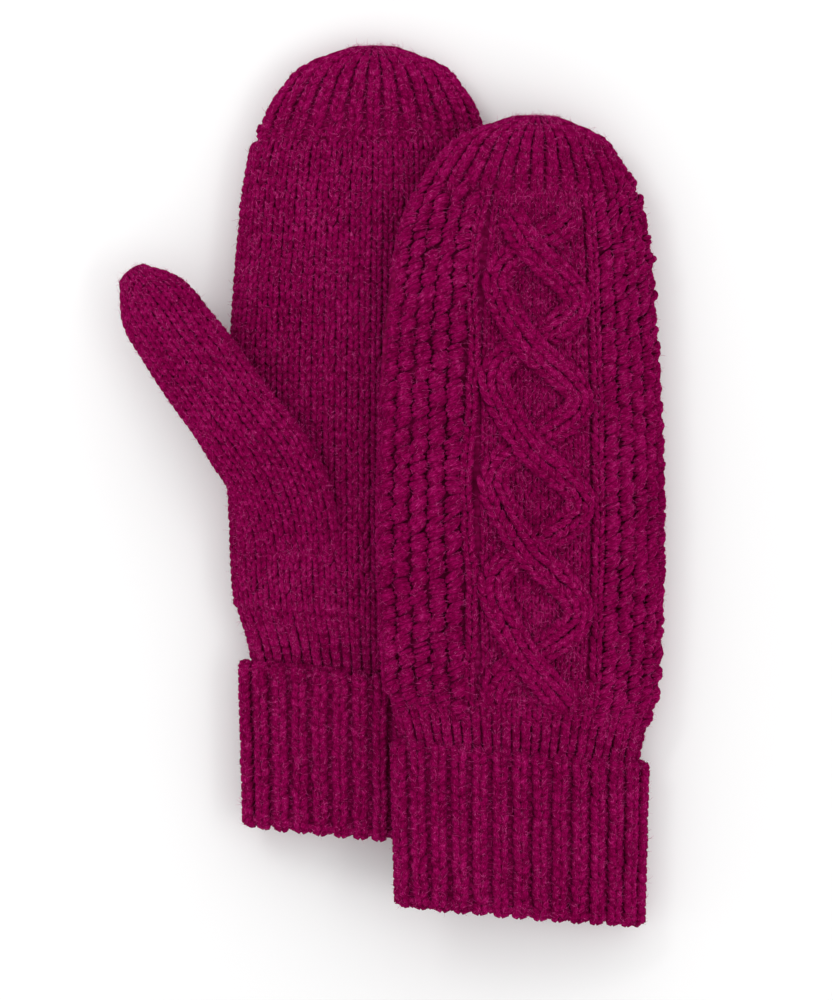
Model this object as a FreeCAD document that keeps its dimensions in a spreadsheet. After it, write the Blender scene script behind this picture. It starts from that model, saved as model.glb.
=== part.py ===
# A pair of cable-knit mittens with turned-up ribbed cuffs, lying on a flat surface.
# The left-hand mitten lies palm up; the right-hand mitten lies back up and partly on top of it.
# X runs across the pair, Y towards the fingertips, Z up. The origin is under the middle of the
# pair, on the surface it lies on. All sizes are millimetres and degrees.

import FreeCAD, Part
import math
import os
from FreeCAD import Placement, Rotation, Vector

doc = FreeCAD.newDocument("KnittedMittens")
sheet = doc.addObject("Spreadsheet::Sheet", "Sizes")

# ---------------------------------------------------------------- driving dimensions

SIZES = {
    # knitted fabric
    "hand_wall": 3.6,
    "cuff_wall": 3.2,
    "thumb_wall": 3.2,
    "seam_width": 1.6,
    "clearance": 0.4,
    # lengths along one mitten, from the fold of the cuff to the fingertips
    "mitten_length": 277.0,
    "cuff_depth": 57.0,
    # turned-up cuff and the ribbed wrist inside it
    "cuff_half_thick": 14.0,
    "turnup_fold_half_width": 44.6,
    "turnup_edge_half_width": 46.2,
    "rib_fold_half_width": 39.2,
    "rib_top_half_width": 41.2,
    "cuff_skew": 5.5,
    "fold_gap": 0.6,
    "turnup_gap": 0.8,
    # where the left mitten lies
    "left_centre_x": -6.9,
    "left_fold_y": -121.5,
    "left_tip_drift": -2.0,
    "left_wrist_rise": 12.4,
    "left_tip_rise": 9.6,
    "left_roll": 2.5,
    "left_fullness": 1.0,
    "left_breadth": 1.0,
    # where the right mitten lies
    "right_centre_x": 44.6,
    "right_fold_y": -148.0,
    "right_tip_drift": 5.0,
    "right_wrist_rise": 20.6,
    "right_tip_rise": 20.4,
    "right_roll": 15.0,
    "right_fullness": 1.22,
    "right_breadth": 1.03,
    # the sloping plane where the two mittens touch
    "contact_height": 26.5,
    "contact_slope": 20.8,
    "lying_gap": 1.0,
    # how softly the fabric rounds into a flattened place, and how flat it can be pressed
    "softness": 1.6,
    "floor_press": 0.7,
    "least_fullness": 0.25,
    # thumbs
    "thumb_reach": 88.0,
    "thumb_half_width": 15.5,
    "thumb_closing": 84.0,
    "collar_radius": 12.0,
    "collar_wall": 2.6,
    "collar_height": 5.4,
    "left_thumb_half_thick": 9.0,
    "left_thumb_root_x": -36.0,
    "left_thumb_root_y": 4.0,
    "left_thumb_root_z": 27.0,
    "left_thumb_tilt": -20.0,
    "left_thumb_turn": 37.5,
    "right_thumb_half_thick": 4.6,
    "right_thumb_root_x": 24.0,
    "right_thumb_root_y": -26.0,
    "right_thumb_turn": -20.0,
    # room under the right palm for the thumb folded there
    "room_height": 11.2,
    "room_low_x": 7.0,
    "room_high_x": 66.0,
    "room_low_y": -42.0,
    "room_high_y": 60.0,
    "room_fade_x": 13.0,
    "room_fade_y": 36.0,
}

# Cross-sections of the hand: distance from the cuff fold, half width, half thickness, skew.
HAND_STATIONS = {
    "wrist": (57.6, 41.6, 10.8, 5.5),
    "heel": (68.0, 43.6, 12.6, 4.5),
    "thumb_base": (86.0, 46.6, 14.2, 2.5),
    "low_palm": (107.0, 48.2, 15.0, 1.0),
    "palm": (127.0, 49.0, 15.4, 0.0),
    "high_palm": (150.0, 49.0, 15.4, 0.0),
    "knuckles": (171.0, 48.6, 15.4, 0.0),
    "fingers": (192.0, 47.6, 15.2, 0.0),
    "high_fingers": (211.0, 46.0, 14.7, 0.0),
    "shoulder": (229.0, 43.6, 14.0, 0.0),
    "crown": (249.0, 37.4, 12.4, 0.0),
    "brow": (263.0, 29.8, 10.2, 0.0),
    "gather": (272.0, 20.5, 7.4, 0.0),
    "tip": (277.0, 8.0, 3.6, 0.0),
}

# Cross-sections of the thumb: share of its reach, share of its half width and half thickness.
THUMB_STATIONS = {
    "heel": (-0.16, 0.45),
    "root": (0.0, 0.94),
    "middle": (0.35, 1.0),
    "knuckle": (0.68, 0.96),
    "brow": (0.88, 0.80),
    "tip": (1.0, 0.34),
}


def write_cell(row, alias, value):
    cell = "A%d" % row
    sheet.set(cell, str(value))
    sheet.setAlias(cell, alias)


def fill_sheet():
    values = dict(SIZES)
    for station, (reach, half_width, half_thick, skew) in HAND_STATIONS.items():
        values["hand_%s_reach" % station] = reach
        values["hand_%s_half_width" % station] = half_width
        values["hand_%s_half_thick" % station] = half_thick
        values["hand_%s_skew" % station] = skew
    for station, (share, girth) in THUMB_STATIONS.items():
        values["thumb_%s_share" % station] = share
        values["thumb_%s_girth" % station] = girth
    for row, (alias, value) in enumerate(values.items(), start=1):
        write_cell(row, alias, value)
    doc.recompute()


def size(alias):
    return float(sheet.get(alias))


fill_sheet()

# ---------------------------------------------------------------- building blocks

ALONG_Y = Rotation(Vector(1, 0, 0), 90)
BLOCK_SPAN = 200.0
ARC_POINTS = 15


def ellipse(name, half_width, half_thick):
    """An upright ellipse across the Y direction, its long side across."""
    section = doc.addObject("Part::Ellipse", name)
    section.Placement = Placement(Vector(), ALONG_Y)
    section.setExpression("MajorRadius", half_width)
    section.setExpression("MinorRadius", half_thick)
    return section


def loft(name, sections):
    body = doc.addObject("Part::Loft", name)
    body.Sections = sections
    body.Solid = True
    body.Ruled = False
    return body


def cut(name, base, *tools):
    for index, tool in enumerate(tools):
        step = doc.addObject("Part::Cut", "%s_%d" % (name, index))
        step.Base = base
        step.Tool = tool
        base = step
    return base


def common(name, first, second):
    step = doc.addObject("Part::MultiCommon", name)
    step.Shapes = [first, second]
    return step


def finish(item, label):
    item.Label = label
    return item


def rest_on_floor(name, item):
    """Press a soft piece flat where it lies on the floor."""
    floor = doc.addObject("Part::Box", name + "_floor")
    floor.Length = 2 * BLOCK_SPAN
    floor.Width = 2 * BLOCK_SPAN
    floor.Height = BLOCK_SPAN
    floor.Placement = Placement(Vector(-BLOCK_SPAN, -BLOCK_SPAN, -BLOCK_SPAN), Rotation())
    return cut(name + "_rested", item, floor)


def wire_object(name, edges):
    section = doc.addObject("Part::Feature", name)
    section.Shape = Part.Wire(edges)
    return section


def curve(points, closed=False):
    spline = Part.BSplineCurve()
    spline.interpolate(points, PeriodicFlag=closed)
    return spline.toShape()


def line(start, end):
    return Part.LineSegment(start, end).toShape()


def slope_of(alias):
    return math.tan(math.radians(size(alias)))


# ---------------------------------------------------------------- soft cross-sections

def soft_max(first, second):
    """The larger of two heights, rounded where they meet."""
    gap = first - second
    return 0.5 * (first + second + math.sqrt(gap * gap + size("softness") ** 2))


def soft_min(first, second):
    return -soft_max(-first, -second)


def smooth_step(value, low, high):
    share = min(1.0, max(0.0, (value - low) / (high - low)))
    return share * share * (3.0 - 2.0 * share)


def contact_height(x):
    """Height of the sloping plane where the right mitten lies on the left one."""
    return size("contact_height") - slope_of("contact_slope") * x


def thumb_room(x, y):
    """How far the right palm rises to leave room for the thumb folded under it."""
    fade_x = size("room_fade_x")
    fade_y = size("room_fade_y")
    rise = smooth_step(x, size("room_low_x") - fade_x, size("room_low_x"))
    fall = 1.0 - smooth_step(x, size("room_high_x"), size("room_high_x") + fade_x)
    start = smooth_step(y, size("room_low_y") - fade_y, size("room_low_y"))
    end = 1.0 - smooth_step(y, size("room_high_y"), size("room_high_y") + fade_y)
    return size("room_height") * rise * fall * start * end


def underside_limit(side, x, y):
    if side == "left":
        return 0.0
    lying = contact_height(x) + size("lying_gap")
    return max(0.0, lying + thumb_room(x, y))


def section_centre(side, reach):
    share = reach / size("mitten_length")
    x = size(side + "_centre_x") + size(side + "_tip_drift") * share ** 4
    y = size(side + "_fold_y") + reach
    z = size(side + "_wrist_rise")
    z += (size(side + "_tip_rise") - z) * share
    return Vector(x, y, z)


def skin_heights(side, station, across):
    """Underside and top of the outer skin, across from the middle of a cross-section."""
    reach, half_width, half_thick, skew = station
    roll = math.radians(size(side + "_roll"))
    middle = section_centre(side, reach)
    half = half_thick * math.sqrt(max(0.0, 1.0 - (across / half_width) ** 2))
    least = 2.0 * half * size("least_fullness")
    height = middle.z - across * math.sin(roll)
    x = middle.x + across * math.cos(roll)
    y = middle.y - across * math.tan(math.radians(skew))
    low = height - half * math.cos(roll)
    high = height + half * math.cos(roll)
    if side == "left":
        high = soft_min(high, contact_height(x + half * math.sin(roll)))
        on_hand = reach >= size("hand_wrist_reach")
        low = soft_max(min(low, high - least), -size("floor_press") if on_hand else 0.0)
    else:
        low = soft_max(low, underside_limit(side, x - half * math.sin(roll), y))
        high = max(high, low + least)
    return low, high


def soft_point(side, station, angle, depth):
    """A point of a flattened oval cross-section, depth inside the outer skin."""
    reach, half_width, half_thick, skew = station
    roll = math.radians(size(side + "_roll"))
    across = (half_width - depth) * math.cos(angle)
    half = (half_thick - depth) * abs(math.sin(angle))
    middle = section_centre(side, reach)
    height = middle.z - across * math.sin(roll)
    low, high = skin_heights(side, station, across)
    if depth > 0:
        low = max(low + depth, height - half * math.cos(roll))
        high = min(high - depth, height + half * math.cos(roll))
        pinch = 0.5 * max(0.0, low - high + half * size("least_fullness"))
        low -= pinch
        high += pinch
    elif half < 1e-6:
        low = high = 0.5 * (low + high)
    on_underside = math.sin(angle) < 0
    sideways = across * math.cos(roll) + (-half if on_underside else half) * math.sin(roll)
    y = middle.y - sideways * math.tan(math.radians(skew))
    return Vector(middle.x + sideways, y, low if on_underside else high)


def soft_arc(side, station, start, end, depth, count=ARC_POINTS):
    angles = [start + (end - start) * index / (count - 1) for index in range(count)]
    return [soft_point(side, station, angle, depth) for angle in angles]


def tube_section(name, side, station, depth):
    points = soft_arc(side, station, 0.0, 2.0 * math.pi, depth, 2 * ARC_POINTS + 1)
    return wire_object(name, [curve(points[:-1], closed=True)])


def panel_section(name, side, station, start, end, wall, count=ARC_POINTS):
    """A closed C-shaped outline: the outer skin, and the inner skin wall behind it."""
    outer = soft_arc(side, station, start, end, 0.0, count)
    inner = soft_arc(side, station, start, end, wall, count)
    edges = [curve(outer), line(outer[-1], inner[-1]), curve(inner[::-1]), line(inner[0], outer[0])]
    return wire_object(name, edges)


# ---------------------------------------------------------------- hand of one mitten

def hand_station(side, name):
    prefix = "hand_" + name
    values = [size(prefix + "_" + field) for field in ("reach", "half_width", "half_thick", "skew")]
    values[1] *= size(side + "_breadth")
    values[2] *= size(side + "_fullness")
    return values


def hand_strip(side, name, first_share, last_share, count):
    """One strip of the hand's wall, between two angles that allow for the seams."""
    sections = []
    wall = size("hand_wall")
    for station in HAND_STATIONS:
        if station == "tip":
            continue
        values = hand_station(side, station)
        half_seam = 0.5 * size("seam_width") / values[2]
        start = first_share[0] * math.pi + first_share[1] * half_seam
        end = last_share[0] * math.pi + last_share[1] * half_seam
        label = "%s_%s_%s" % (side, name, station)
        sections.append(panel_section(label, side, values, start, end, wall, count))
    return loft("%s_%s_loft" % (side, name), sections)


def build_hand(side, thumb_hole):
    upper = hand_strip(side, "upper", (0, 1), (1, -1), 2 * ARC_POINTS)
    lower = hand_strip(side, "lower", (1, 1), (2, -1), 2 * ARC_POINTS)
    palm = upper if side == "left" else lower
    back = lower if side == "left" else upper
    if side == "left":
        back = rest_on_floor("left_back", back)
    finish(back, side + "_back_panel")
    finish(cut(side + "_palm", palm, thumb_hole), side + "_palm_panel")
    finish(hand_strip(side, "outer_seam", (0, -1), (0, 1), 3), side + "_outer_side_seam")
    finish(hand_strip(side, "thumb_seam", (1, -1), (1, 1), 3), side + "_thumb_side_seam")
    crown = [tube_section("%s_crown_%s" % (side, name), side, hand_station(side, name), 0.0)
             for name in ("gather", "tip")]
    finish(loft(side + "_crown", crown), side + "_tip_gather")


# ---------------------------------------------------------------- cuff of one mitten

def cuff_tube(side, name, half_thick, widths, reaches, depth):
    """A solid soft tube along the cuff, straight from its fold end to its other end."""
    sections = []
    for index, reach in enumerate(reaches):
        station = (reach, widths[index], half_thick, size("cuff_skew"))
        sections.append(tube_section("%s_%s_%d" % (side, name, index), side, station, depth))
    return loft("%s_%s" % (side, name), sections)


def build_cuff(side):
    wall = size("cuff_wall")
    layer = wall + size("turnup_gap")
    overrun = 3.0
    half_thick = size("cuff_half_thick")
    depth = size("cuff_depth")
    widths = (size("turnup_fold_half_width"), size("turnup_edge_half_width"))
    skin = cuff_tube(side, "turnup", half_thick, widths, (0.0, depth), 0.0)
    room = cuff_tube(side, "turnup_room", half_thick, widths, (-overrun, depth + overrun), wall)
    finish(cut(side + "_turnup_wall", skin, room), side + "_cuff_turnup")

    top = size("hand_wrist_reach")
    widths = (size("rib_fold_half_width") + layer, size("rib_top_half_width") + layer)
    start = size("fold_gap")
    shy_of_hand = top - 0.001
    skin = cuff_tube(side, "rib", half_thick, widths, (start, shy_of_hand), layer)
    room = cuff_tube(side, "rib_room", half_thick, widths, (-overrun, top + overrun), layer + wall)
    finish(cut(side + "_rib_wall", skin, room), side + "_wrist_rib")


# ---------------------------------------------------------------- thumb of one mitten

def contact_plane():
    slope = Rotation(Vector(0, 1, 0), size("contact_slope"))
    return Placement(Vector(0, 0, size("contact_height")), slope)


def thumb_frame(side):
    """The thumb's own frame: origin on its joint axis, Y towards its tip, Z away from below."""
    if side == "left":
        base = Vector(size("left_thumb_root_x"), size("left_thumb_root_y"), size("left_thumb_root_z"))
        lean = Rotation(Vector(0, 1, 0), size("left_thumb_tilt"))
    else:
        across = size("right_thumb_root_x")
        on_plane = Vector(across, size("right_thumb_root_y"), size("lying_gap") / 2)
        plane = contact_plane()
        base = plane.multVec(on_plane)
        lean = plane.Rotation
    turn = Rotation(Vector(0, 0, 1), size(side + "_thumb_turn"))
    return Placement(base, lean.multiply(turn))


def thumb_loft(side, name, depth):
    sections = []
    half_thick = "Sizes.%s_thumb_half_thick" % side
    stations = list(THUMB_STATIONS)
    if depth != "0":
        stations = stations[1:-1]
    for station in stations:
        girth = "Sizes.thumb_%s_girth" % station
        section = ellipse("%s_%s_%s" % (side, name, station),
                          "Sizes.thumb_half_width * %s - %s" % (girth, depth),
                          "%s * (0.25 + 0.75 * %s) - %s" % (half_thick, girth, depth))
        share = "Sizes.thumb_%s_share" % station
        section.setExpression("Placement.Base.y", "Sizes.thumb_reach * %s" % share)
        section.setExpression("Placement.Base.z", "%s + Sizes.clearance" % half_thick)
        sections.append(section)
    return loft("%s_%s" % (side, name), sections)


def collar(side, name, radius, frame, start, height):
    ring = doc.addObject("Part::Cylinder", "%s_%s" % (side, name))
    ring.setExpression("Radius", radius)
    ring.Height = height
    ring.Placement = frame.multiply(Placement(Vector(0, 0, start), Rotation()))
    return ring


def build_thumb(side):
    frame = thumb_frame(side)
    outer = thumb_loft(side, "thumb", "0")
    room = thumb_loft(side, "thumb_room", "Sizes.thumb_wall")
    for body in (outer, room):
        body.Placement = frame

    half_thick = size(side + "_thumb_half_thick")
    middle = half_thick + size("clearance")
    height = half_thick + size("collar_height")
    start = middle - height if side == "left" else middle
    outer_collar = collar(side, "collar", "Sizes.collar_radius", frame, start, height)
    bore_height = height + 2.0
    bore_start = start - 2.0 if side == "left" else start
    bore = collar(side, "collar_bore", "Sizes.collar_radius - Sizes.collar_wall", frame, bore_start,
                  bore_height)
    hole = collar(side, "thumb_hole", "Sizes.collar_radius + Sizes.clearance", frame, start - 4.0,
                  height + 8.0)

    finish(cut(side + "_collar_ring", outer_collar, outer, bore), side + "_thumb_base_seam")
    closing = frame.multiply(Placement(Vector(0, size("thumb_closing"), 0), Rotation()))
    tip_block = doc.addObject("Part::Box", side + "_thumb_tip_block")
    tip_block.Length = BLOCK_SPAN
    tip_block.Width = BLOCK_SPAN
    tip_block.Height = BLOCK_SPAN
    corner = Vector(-BLOCK_SPAN / 2, 0, -BLOCK_SPAN / 2)
    tip_block.Placement = closing.multiply(Placement(corner, Rotation()))
    finish(common(side + "_thumb_tip", outer, tip_block), side + "_thumb_tip_gather")
    finish(cut(side + "_thumb_wall", outer, room, bore, tip_block), side + "_thumb_tube")
    return hole


# ---------------------------------------------------------------- the pair

NODES = ["back_panel", "palm_panel", "thumb_side_seam", "outer_side_seam", "tip_gather", "wrist_rib",
         "cuff_turnup", "thumb_base_seam", "thumb_tube", "thumb_tip_gather"]

for hand in ("left", "right"):
    thumb_hole = build_thumb(hand)
    build_hand(hand, thumb_hole)
    build_cuff(hand)

doc.recompute()

for item in doc.Objects:
    if "Invalid" in item.State or "Error" in item.State:
        raise RuntimeError("%s failed: %s" % (item.Label, item.State))

os.makedirs("parts", exist_ok=True)
for hand in ("left", "right"):
    for name in NODES:
        label = "%s_%s" % (hand, name)
        part = doc.getObjectsByLabel(label)[0]
        if part.Shape.isNull() or not part.Shape.isValid():
            raise RuntimeError("%s has no valid shape" % label)
        box = part.Shape.BoundBox
        print("%-24s solids %d volume %9.1f  x %.1f..%.1f  y %.1f..%.1f  z %.1f..%.1f" % (
            label, len(part.Shape.Solids), part.Shape.Volume, box.XMin, box.XMax, box.YMin, box.YMax,
            box.ZMin, box.ZMax))
        part.Shape.exportStep("parts/%s.step" % label)
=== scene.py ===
import math

import bpy
import numpy as np
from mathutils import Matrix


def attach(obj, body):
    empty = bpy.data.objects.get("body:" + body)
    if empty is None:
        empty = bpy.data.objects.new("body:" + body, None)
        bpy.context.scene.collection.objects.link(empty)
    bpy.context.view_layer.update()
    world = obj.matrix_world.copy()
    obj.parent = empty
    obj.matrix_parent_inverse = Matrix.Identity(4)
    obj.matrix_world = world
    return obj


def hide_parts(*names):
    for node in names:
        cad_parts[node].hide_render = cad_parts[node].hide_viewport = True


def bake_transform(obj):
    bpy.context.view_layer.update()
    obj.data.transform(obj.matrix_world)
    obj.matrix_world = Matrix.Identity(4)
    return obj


# A pair of hand-knitted mittens. Every stitch is laid as its own length of yarn over the
# fabric's skin. Lengths are in millimetres and become metres when a mesh is made. A reach is
# measured from a mitten's folded edge towards its tip.

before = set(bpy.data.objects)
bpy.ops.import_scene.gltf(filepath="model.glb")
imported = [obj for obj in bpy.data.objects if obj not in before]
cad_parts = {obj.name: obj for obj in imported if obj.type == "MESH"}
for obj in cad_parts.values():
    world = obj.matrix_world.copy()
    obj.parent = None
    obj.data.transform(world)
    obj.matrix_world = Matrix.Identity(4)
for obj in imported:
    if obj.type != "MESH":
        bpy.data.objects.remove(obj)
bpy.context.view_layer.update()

MM = 0.001
TAU = 2.0 * math.pi
WHOLE_TURN = np.linspace(0.0, TAU, 97)[:-1]

# ------------------------------------------------------------------ sizes of the pair

LENGTH = 277.0
CUFF_DEPTH = 57.0
WRIST_START = 0.6
WRIST_REACH = 57.6
CUFF_HALF_THICK = 14.0
CUFF_SKEW = 5.5
TURNUP_WIDTHS = (44.6, 46.2)
RIB_WIDTHS = (39.2, 41.2)
CUFF_LAYER = 4.0

# the sloping plane between the left mitten and the right one that lies on it
CONTACT_HEIGHT = 26.5
CONTACT_SLOPE = math.tan(math.radians(20.8))
LYING_GAP = 1.0
SOFTNESS = 1.6
FLOOR_PRESS = 0.7
LEAST_FULLNESS = 0.25

# room under the right palm for the thumb that is folded in there
ROOM_HEIGHT = 11.2
ROOM_X = (7.0, 66.0)
ROOM_Y = (-42.0, 60.0)
ROOM_FADE_X = 13.0
ROOM_FADE_Y = 36.0

SIDES = {
    "left": {"centre_x": -6.9, "fold_y": -121.5, "tip_drift": 1.0, "wrist_rise": 12.4,
             "tip_rise": 9.6, "roll": math.radians(2.5), "fullness": 1.0,
             "breadth": 1.0, "stretch": 0.985, "crown": 243.0, "wrist": 78.0},
    "right": {"centre_x": 44.6, "fold_y": -148.0, "tip_drift": 5.0, "wrist_rise": 20.6,
              "tip_rise": 20.4, "roll": math.radians(15.0), "fullness": 1.22,
              "breadth": 1.03, "stretch": 0.993, "crown": 249.0, "wrist": 74.0},
}

# reach, half width, half thickness, skew in degrees
HAND_STATIONS = np.array([
    (57.6, 41.6, 10.8, 5.5), (68.0, 44.0, 12.6, 4.5), (77.0, 46.9, 13.5, 3.5),
    (88.0, 48.1, 14.3, 2.3), (107.0, 48.9, 15.0, 1.0), (127.0, 49.6, 15.4, 0.0),
    (150.0, 49.5, 15.4, 0.0), (171.0, 48.8, 15.4, 0.0), (192.0, 47.6, 15.2, 0.0),
    (211.0, 46.0, 14.7, 0.0), (229.0, 44.3, 14.0, 0.0), (249.0, 39.4, 12.4, 0.0),
    (263.0, 31.9, 10.2, 0.0), (272.0, 22.3, 7.4, 0.0), (277.0, 8.5, 3.6, 0.0),
])

THUMB_REACH = 88.0
THUMB_HALF_WIDTH = 15.8
THUMB_CLEARANCE = 0.4
THUMB_LEAST_THICK = 0.25
RIGHT_THUMB_START = -0.1 * THUMB_REACH
# share of the reach, share of the girth
THUMB_STATIONS = np.array([
    (-0.16, 0.45), (0.0, 0.94), (0.35, 1.0), (0.68, 0.96), (0.88, 0.80), (1.0, 0.34),
])
THUMBS = {
    "left": {"base": (-36.0, 4.0, 27.0), "lean": math.radians(-20.0),
             "turn": math.radians(37.5), "half_thick": 9.0},
    "right": {"base": (22.61, -26.0, 18.44), "lean": math.radians(20.8),
              "turn": math.radians(-20.0), "half_thick": 4.6},
}

# a tip is drawn together over this much reach, pushed forward a little, and closes to this share
CAP = 5.0
TIP_FORWARD = np.array([0.0, 0.4, 0.0])
TIP_CLOSED = 0.03

# The left thumb grows out of the palm. Below its root its fabric bends into the palm's columns
# and sinks into the palm; reaches are along the thumb.
GUSSET_FIRST = -46.0
GUSSET_LAST = 16.0
GUSSET_RISES_FROM = -38.0
GUSSET_TURNS_FROM = -34.0
GUSSET_HALF_WIDTH = 18.5
GUSSET_SHIFT = 3.2
GUSSET_SINK = 2.4
GUSSET_UNDER = 6.0
GUSSET_DOME = 3.0
GUSSET_LOWEST = 1.5
GUSSET_INSET = 2.5
GUSSET_FREE_FROM = -10.0
GUSSET_FREE_ROOM = 30.0

# ------------------------------------------------------------------ yarn and stitches

YARN_RADIUS = 1.08
COURSE = 2.9
# shares of a column's width: the yarn's radius, a plain stitch, a rib's knit and purl stitches
RADIUS_SHARE = 0.245
PLAIN_SHARE = 0.88
KNIT_SHARE = 0.66
PURL_SHARE = 0.5
PURL_HEIGHT = -1.5
PLAIN_HEIGHT = 0.2
PALM_WALES = 26
THUMB_WALES = 10
THUMB_STITCH_HEIGHT = 0.15
THUMB_LEAST_RADIUS = 0.5

# the ribbed cuffs; their edges roll over with this radius, by up to this angle
RIBS = 28
RIB_COURSE = 2.83
RIB_RADIUS = 1.42
RIB_HEIGHT = 0.75
RIB_PURL_RADIUS = 1.05
EDGE_ROLL = 2.0
EDGE_TURN = 2.4
UNROLLED = WRIST_REACH + 10.0

# narrow columns where the hand goes into the cuff
WRIST_COURSE = 2.7
WRIST_STITCH = 2.8
WRIST_OVERLAP = 2.5
WRIST_RADIUS = 1.02
WRIST_CRIMP = 0.45
WRIST_GATHER = 0.42
WRIST_BACK_COLUMNS = 28
WRIST_UNDER_BEADS = 7.0
WRIST_SINK = 1.1
WRIST_SINK_LEAD = 3.0

# raised columns that draw together at a tip
CROWN_COURSE = 2.6
CROWN_STITCH = 2.8
CROWN_RADIUS_SHARE = 0.255
CROWN_RADII = (0.42, 1.3)
CROWN_RAMP = 11.0
CROWN_RISE = 1.3
CROWN_SUNK = 0.9
CROWN_PURL_FROM = 2.6
CROWN_PURL_GIRTH = 0.6
CROWN_LAST = LENGTH + 0.85 * CAP
CROWN_BACK_RIBS = 15
CROWN_BACK_LEAD = 3.0

# the cable on the back of each hand: places are measured across from its middle
REFERENCE_REACH = 130.0
CABLE_X = {"left": -6.9, "right": 50.4}
CABLE_FIRST = 89.0
CABLE_PITCH = 38.6
CABLE_TIGHTENING = 0.76
CABLE_PHASES = (-0.45, 4.42)
CABLE_SWING = 14.6
SWING_LEAN = 0.17
CROSSING_SHIFT = 4.4
ROPE_COLUMNS = (-0.92, -0.34, 0.34, 0.92)
ROPE_HALF = 4.3
ROPE_ROUND = 1.35 * ROPE_HALF
ROPE_CROWN = 2.4
ROPE_MIDDLE = 0.5
ROPE_LIFT = 1.9
ROPE_ABOVE = 2.6
ROPE_SUNK = 2.6
ROPE_LEG = 4.2
ROPE_SLANT = 2.1
ROPE_STEP = 2.5
ROPE_STAGGER = 0.6
ROPE_FADES = (5.0, 6.0)
ROPE_RADIUS = 1.24
GROUND_PITCH = 3.05
GROUND_COLUMNS = np.arange(-6, 7) * GROUND_PITCH - 0.2
GROUND_SHARE = 0.92
GROUND_HEIGHT = -0.5
GROUND_RADIUS = 0.84
BORDERS = np.array([-24.0, 22.9])
BORDER_WIDTH = 4.4
BORDER_SWAY = 1.2
BORDER_HEIGHT = 0.6
BORDER_RADIUS = 1.12

# the moss beads on both flanks of the cable: which way they go from the middle, and from where
FLANKS = ((-1.0, 26.3), (1.0, 25.2))
BEAD_WIDTH = 6.1
BEAD_TALL = 6.5
BEAD_HEIGHT = 1.1
BEAD_RADIUS = 1.2
BEAD_STRANDS = (-1.5, -0.5, 0.5, 1.5)
BEADS_PAST_WRIST = 2.0
BEADS_PAST_CROWN = 1.0
BEADS_UP_THE_SIDE = 13.0

# the columns along each side of a hand: shares of the way round, and each column's height
SEAM_SHARE = 0.009
SEAM_PITCH = 0.017
SEAM_COLUMNS = ((0.0, 0.75), (1.5 * SEAM_SHARE, 0.1))
SEAM_RADIUS = 1.0

GATHER_RADIUS = 0.95
GATHER_STRANDS = {"hand": 22, "thumb": 16}
GATHER_SLANT = 0.012

# depths of the cloth's outer and inner layers below the skin
CLOTH_LAYERS = {"hand": (2.35, 3.6), "cuff": (2.3, 3.2), "thumb": (2.2, 3.2)}
CLOTH_RECESS = 1.6
# the hollow inside keeps this gap, and near a folded edge the fabric counts as thicker
LEAST_HOLLOW = 0.6
EDGE_ROOM = 12.0
EDGE_FADE = 3.0

# loose fibres
FIBRE_WIDTH = 0.045
FIBRE_LENGTH = 2.6
FIBRES = {"palm": 19000, "back": 23000, "seams": 1200, "turnup": 11000, "thumb": 7000}

# least height of yarn and of cloth above the floor
YARN_FLOOR = 0.05
CLOTH_FLOOR = 0.06

# colours of the wool: the darkest is painted shade for its hollows, the middle its own colour, the
# lighter two painted highlight for its ridges and fibres; the noise that picks between them also
# varies the tone at random
DEEP = (0.078, 0.0003, 0.0175)
BODY = (0.200, 0.0006, 0.050)
LIGHT = (0.335, 0.004, 0.100)
FIBRE_HIGHLIGHT = (0.56, 0.045, 0.24)
# loose fibres: from the wool's own tone to a painted highlight of fibres catching the light
FUZZ_TONE_AND_HIGHLIGHT = ((0.30, 0.003, 0.085), (0.66, 0.07, 0.30))
SHEEN = (1.0, 0.02, 0.40)

rng = np.random.default_rng(7)


# ------------------------------------------------------------------ smooth helpers

def smooth_step(value, low, high):
    share = np.clip((value - low) / (high - low), 0.0, 1.0)
    return share * share * (3.0 - 2.0 * share)


def soft_max(first, second):
    return 0.5 * (first + second + np.sqrt((first - second) ** 2 + SOFTNESS ** 2))


def unit(vectors):
    return vectors / np.maximum(np.linalg.norm(vectors, axis=-1, keepdims=True), 1e-9)


def through(rows, at):
    """Values at given places of a smooth curve through rows whose first column is the place."""
    places = rows[:, 0]
    values = rows[:, 1:]
    slopes = np.gradient(values, places, axis=0)
    left = np.clip(np.searchsorted(places, at) - 1, 0, len(places) - 2)
    span = places[left + 1] - places[left]
    t = ((at - places[left]) / span)[..., None]
    span = span[..., None]
    ease = t * t * (3.0 - 2.0 * t)
    start = slopes[left] * span * (t * (1.0 - t) ** 2)
    end = slopes[left + 1] * span * (t * t * (t - 1.0))
    return values[left] + (values[left + 1] - values[left]) * ease + start + end


def contact_height(x):
    return CONTACT_HEIGHT - CONTACT_SLOPE * x


def thumb_room(x, y):
    rise = smooth_step(x, ROOM_X[0] - ROOM_FADE_X, ROOM_X[0])
    fall = 1.0 - smooth_step(x, ROOM_X[1], ROOM_X[1] + ROOM_FADE_X)
    start = smooth_step(y, ROOM_Y[0] - ROOM_FADE_Y, ROOM_Y[0])
    end = 1.0 - smooth_step(y, ROOM_Y[1], ROOM_Y[1] + ROOM_FADE_Y)
    return ROOM_HEIGHT * rise * fall * start * end


# ------------------------------------------------------------------ skins of the fabric tubes

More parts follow.
